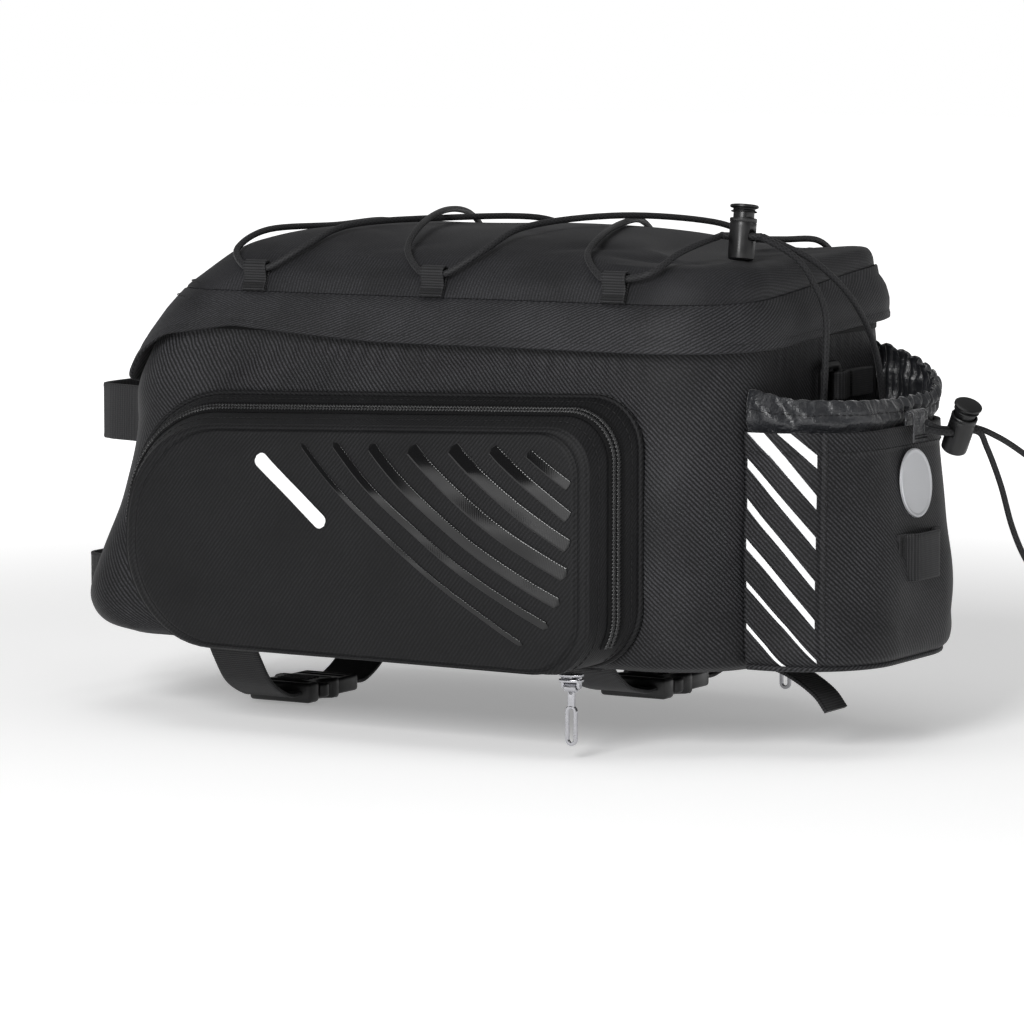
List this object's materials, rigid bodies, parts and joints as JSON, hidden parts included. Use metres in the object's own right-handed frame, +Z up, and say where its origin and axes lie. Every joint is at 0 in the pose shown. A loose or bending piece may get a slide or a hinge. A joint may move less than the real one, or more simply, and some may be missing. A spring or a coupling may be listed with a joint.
{
  "type": "bicycle rack bag",
  "caption": "Padded bag for a bicycle rack with a zipped lid, side pockets, a gathered bottle pocket, elastic lacing and straps under its base.",
  "frame": {"origin": "middle of the flat base, where the bag sits on a rack", "axes": "+X to the rear, where the bottle pocket is; -Y to the left side; +Z up"},
  "size_m": [0.4416, 0.2306, 0.2283],
  "materials": {
    "black_cloth": "black coated polyester twill, soft sheen",
    "zip_tape": "black zip tape and coil",
    "webbing_black": "black ribbed polyester webbing",
    "nylon_grey": "thin black-grey nylon with a silky sheen",
    "elastic_cord": "black braided elastic cord",
    "black_plastic": "moulded black acetal, half gloss",
    "bright_metal": "bright gunmetal plating",
    "silver_badge": "silver reflective patch, blank"
  },
  "bodies": {
    "bag": {"main_body": "black_cloth", "lid": "black_cloth", "rain_flap": "black_cloth", "side_pocket_left": "black_cloth", "side_pocket_right": "black_cloth", "bottle_pocket": "black_cloth", "main_zip": "zip_tape", "side_zip_left": "zip_tape", "side_zip_right": "zip_tape", "cord_loop_left_1": "webbing_black", "cord_loop_left_2": "webbing_black", "cord_loop_left_3": "webbing_black", "cord_loop_right_1": "webbing_black", "cord_loop_right_2": "webbing_black", "cord_loop_right_3": "webbing_black", "carry_handle": "webbing_black", "lower_loop": "webbing_black", "light_loop": "webbing_black", "ring_tab": "webbing_black", "front_strap_left": "webbing_black", "front_strap_right": "webbing_black", "middle_strap_left": "webbing_black", "middle_strap_right": "webbing_black", "rear_strap": "webbing_black", "pocket_collar": "nylon_grey", "collar_tab": "nylon_grey", "bungee_cord": "elastic_cord", "pocket_drawcord": "elastic_cord", "top_lock_barrel": "black_plastic", "bottle_lock_barrel": "black_plastic", "front_buckle_socket": "black_plastic", "front_buckle_prong": "black_plastic", "middle_buckle_socket": "black_plastic", "middle_buckle_prong": "black_plastic", "side_slider_left": "bright_metal", "side_slider_right": "bright_metal", "round_badge": "silver_badge"},
    "left_pull": {"side_pull_left": "bright_metal"},
    "right_pull": {"side_pull_right": "bright_metal"},
    "top_plunger": {"top_lock_plunger": "black_plastic"},
    "bottle_plunger": {"bottle_lock_plunger": "black_plastic"},
    "ring": {"strap_ring": "black_plastic"}
  },
  "joints": [
    {"name": "left_pull_swing", "type": "hinge", "parent": "bag", "child": "left_pull", "pos_m": [0.0925, -0.0978, -0.0061], "axis": [1, 0, 0], "range_deg": [-75, 75]},
    {"name": "right_pull_swing", "type": "hinge", "parent": "bag", "child": "right_pull", "pos_m": [0.0925, 0.0978, -0.0061], "axis": [1, 0, 0], "range_deg": [-75, 75]},
    {"name": "top_plunger_press", "type": "slide", "parent": "bag", "child": "top_plunger", "axis": [0, -0.1392, -0.9903], "range_m": [0, 0.0022], "stiffness_N_per_m": 300, "springref_m": -0.003},
    {"name": "bottle_plunger_press", "type": "slide", "parent": "bag", "child": "bottle_plunger", "axis": [-0.424, 0.265, -0.866], "range_m": [0, 0.0022], "stiffness_N_per_m": 300, "springref_m": -0.003},
    {"name": "ring_swing", "type": "hinge", "parent": "bag", "child": "ring", "pos_m": [0.1607, 0.0107, 0.1145], "axis": [0, 0, 1], "range_deg": [0, 75]}
  ]
}
